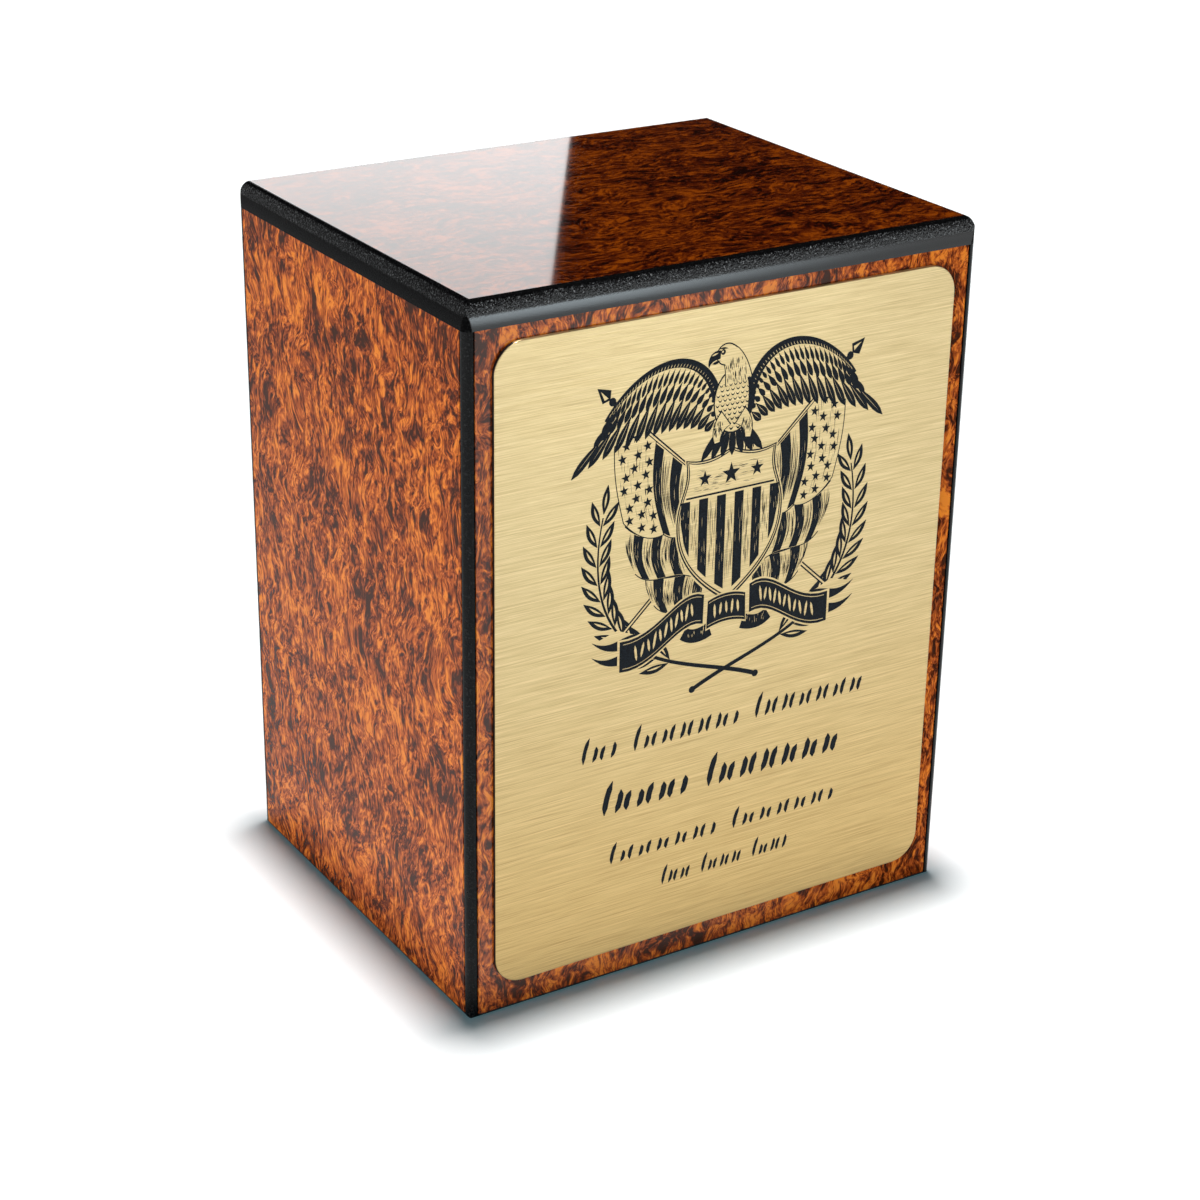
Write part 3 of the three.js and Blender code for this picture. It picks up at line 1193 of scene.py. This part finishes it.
def dress_nodes():
    """Materials of the pieces whose solids are kept as they are."""
    upright = (1.0, 1.0, 0.36)
    lying = (0.36, 1.0, 1.0)
    # The sides' polish thins upwards and the front's thins towards its right: painted reflection, so
    # that the mirrored floor shows less there
    satin = (("Z", 90.0, 190.0, 0.7, 0.42), 1.22)
    bright = (("X", -10.0, 68.0, 0.9, 0.1), 1.5)
    polished = (1.0, 1.5)
    looks = {
        "front": burl_material("burl_front", upright, SIDE_TONES, (40.0, 0.0, 15.0), *bright),
        "back": burl_material("burl_back", upright, SIDE_TONES, (-310.0, 0.0, 70.0), *satin),
        "left": burl_material("burl_left", upright, SIDE_TONES, (0.0, 130.0, 35.0), *satin),
        "right": burl_material("burl_right", upright, SIDE_TONES, (0.0, 460.0, -60.0), *satin),
        "top": burl_material("burl_top_shaded", lying, SHADED_TOP_TONES, (210.0, 90.0, 0.0), *polished),
    }
    for side, material in looks.items():
        wear("burl_veneer_" + side, material)
    wear("base_panel", panel_material())
    blocks = raw_wood_material()
    screws = screw_material()
    for end in ("front", "back"):
        for side in ("left", "right"):
            wear("corner_block_" + end + "_" + side, blocks)
            wear("base_screw_" + end + "_" + side, screws)


# Floor and sky

FLOOR_REACH = 30.0
NEAR_GLOW = (0.0, 0.042, 0.055)
FAR_GLOW = (1.0, 1.0, 1.0)
GLOW_START_MM = 350.0
GLOW_FULL_MM = 3100.0

# Sines of the angle above the horizon, and the sky's brightness there
SKY_LEVELS = ((0.0, 1.0), (0.18, 1.0), (0.23, 0.004), (0.6, 0.004), (1.0, 0.03))


def build_floor():
    """A wide pale floor.

    It glows away from the box, so that it stays white where the key fades.
    Beside the box its faint blue offsets the red light that the burl throws.
    """
    mesh = bpy.data.meshes.new("floor")
    signs = ((-1, -1), (1, -1), (1, 1), (-1, 1))
    corners = [(x * FLOOR_REACH, y * FLOOR_REACH, 0) for x, y in signs]
    mesh.from_pydata(corners, [], [(0, 1, 2, 3)])
    floor = bpy.data.objects.new("floor", mesh)
    bpy.context.scene.collection.objects.link(floor)
    shader = Shader("pale_floor")
    away = shader.length(shader.place)
    far = shader.span(away, GLOW_START_MM, GLOW_FULL_MM, curve="LINEAR")
    shader.set(
        Base_Color=(0.9, 0.9, 0.9, 1.0),
        Roughness=0.8,
        Specular_IOR_Level=0.1,
        Emission_Color=shader.blend(far, NEAR_GLOW, FAR_GLOW),
        Emission_Strength=1.0,
    )
    mesh.materials.append(shader.material)


def build_world():
    """Pale at the horizon and dim above it, so that polished faces keep their colour."""
    world = bpy.data.worlds.new("studio")
    bpy.context.scene.world = world
    world.use_nodes = True
    nodes = world.node_tree.nodes
    links = world.node_tree.links
    direction = nodes.new("ShaderNodeTexCoord")
    split = nodes.new("ShaderNodeSeparateXYZ")
    links.new(direction.outputs["Generated"], split.inputs["Vector"])
    ramp = nodes.new("ShaderNodeValToRGB")
    links.new(split.outputs["Z"], ramp.inputs["Fac"])
    fill_ramp(ramp, [(rise, (level, level, level)) for rise, level in SKY_LEVELS])
    links.new(ramp.outputs["Color"], nodes["Background"].inputs["Color"])
    nodes["Background"].inputs["Strength"].default_value = 1.0


# Lights

# The window's direction is in degrees from +Y towards +X
WINDOW_AZIMUTH = 15
WINDOW_DISTANCE = 1.8
WINDOW_ASIDE = 0.150
WINDOW_HEIGHT = 0.78
WINDOW_LEAN = -7.0


def turned(degrees, axis):
    return Matrix.Rotation(math.radians(degrees), 4, axis)


def softbox(name, centre, target, size, radiance, lean=0.0):
    """A rectangular light that faces its target; radiance is its brightness."""
    light = bpy.data.lights.new(name, "AREA")
    light.shape = "RECTANGLE"
    light.size = size[0]
    light.size_y = size[1]
    light.energy = radiance * math.pi * size[0] * size[1]
    lamp = bpy.data.objects.new(name, light)
    bpy.context.scene.collection.objects.link(lamp)
    away = Vector(target) - Vector(centre)
    turn = away.to_track_quat("-Z", "Y").to_matrix().to_4x4()
    lamp.matrix_world = Matrix.Translation(centre) @ turn @ turned(lean, "Z")
    lamp.visible_camera = False
    return light


def fade(light, *steps):
    """Dims a softbox along its width X or height Y.

    Each step names the axis, where the light is full, where it has faded,
    and the share of its brightness that is left there.
    """
    light.use_nodes = True
    nodes = light.node_tree.nodes
    links = light.node_tree.links
    geometry = nodes.new("ShaderNodeNewGeometry")
    split = nodes.new("ShaderNodeSeparateXYZ")
    links.new(geometry.outputs["Parametric"], split.inputs["Vector"])
    strength = nodes.new("ShaderNodeValue").outputs["Value"]
    strength.default_value = 1.0
    for axis, full, faded, share in steps:
        span = nodes.new("ShaderNodeMapRange")
        links.new(split.outputs[axis], span.inputs["Value"])
        ends = {"From Min": full, "From Max": faded, "To Min": 1.0, "To Max": share}
        for socket, value in ends.items():
            span.inputs[socket].default_value = value
        product = nodes.new("ShaderNodeMath")
        product.operation = "MULTIPLY"
        links.new(strength, product.inputs[0])
        links.new(span.outputs["Result"], product.inputs[1])
        strength = product.outputs["Value"]
    links.new(strength, nodes["Emission"].inputs["Strength"])


def build_lights():
    """A small key overhead, a window, a strip and a fill.

    The lid mirrors the window behind it, and its front round mirrors the low
    strip. The fill is low at the left, for that side's foot.
    """
    softbox("key_above", (0.03, 0.05, 2.3), (0.03, 0.049, 0), (0.2, 0.2), 510.0)
    azimuth = math.radians(WINDOW_AZIMUTH)
    out = Vector((math.sin(azimuth), math.cos(azimuth), 0))
    aside = Vector((math.cos(azimuth), -math.sin(azimuth), 0))
    centre = out * WINDOW_DISTANCE + aside * WINDOW_ASIDE + Vector((0, 0, WINDOW_HEIGHT))
    window = softbox("window_behind", centre, centre - out, (0.7, 0.56), 2.75, WINDOW_LEAN)
    fade(window, ("Y", 0.27, 0.71, 0.72))
    strip = softbox("strip_front", (0.540, -0.902, 0.128), (-0.025, -0.084, 0.128), (0.42, 0.236), 7.5)
    strip.color = (0.80, 0.93, 1.0)
    fade(strip, ("X", 0.33, 0.76, 0.02), ("Y", 1.0, 0.0, 0.3))
    softbox("fill_left", (-1.1, -0.35, 0.14), (-0.084, -0.03, 0.08), (0.8, 0.26), 4.5)


# Camera

CAMERA_PLACE_MM = (-391.878, -626.126, 416.947)
CAMERA_AZIMUTH = -32.1381
CAMERA_ELEVATION = 24.0668
CAMERA_ROLL = 0.8785
LENS_MM = 78.2
SENSOR_MM = 36.0


def build_camera():
    """The photograph's viewing angle."""
    data = bpy.data.cameras.new("camera")
    data.lens = LENS_MM
    data.sensor_width = SENSOR_MM
    data.clip_end = 100.0
    camera = bpy.data.objects.new("camera", data)
    bpy.context.scene.collection.objects.link(camera)
    turn = turned(CAMERA_AZIMUTH, "Z") @ turned(90 - CAMERA_ELEVATION, "X") @ turned(CAMERA_ROLL, "Z")
    camera.matrix_world = Matrix.Translation(Vector(CAMERA_PLACE_MM) * MM) @ turn
    bpy.context.scene.camera = camera


def main():
    build_camera()
    build_floor()
    build_world()
    build_lights()
    build_case()
    build_plate(brass_material())
    build_print(ink_material())
    dress_nodes()
    bpy.context.scene.view_settings.view_transform = "Standard"


main()
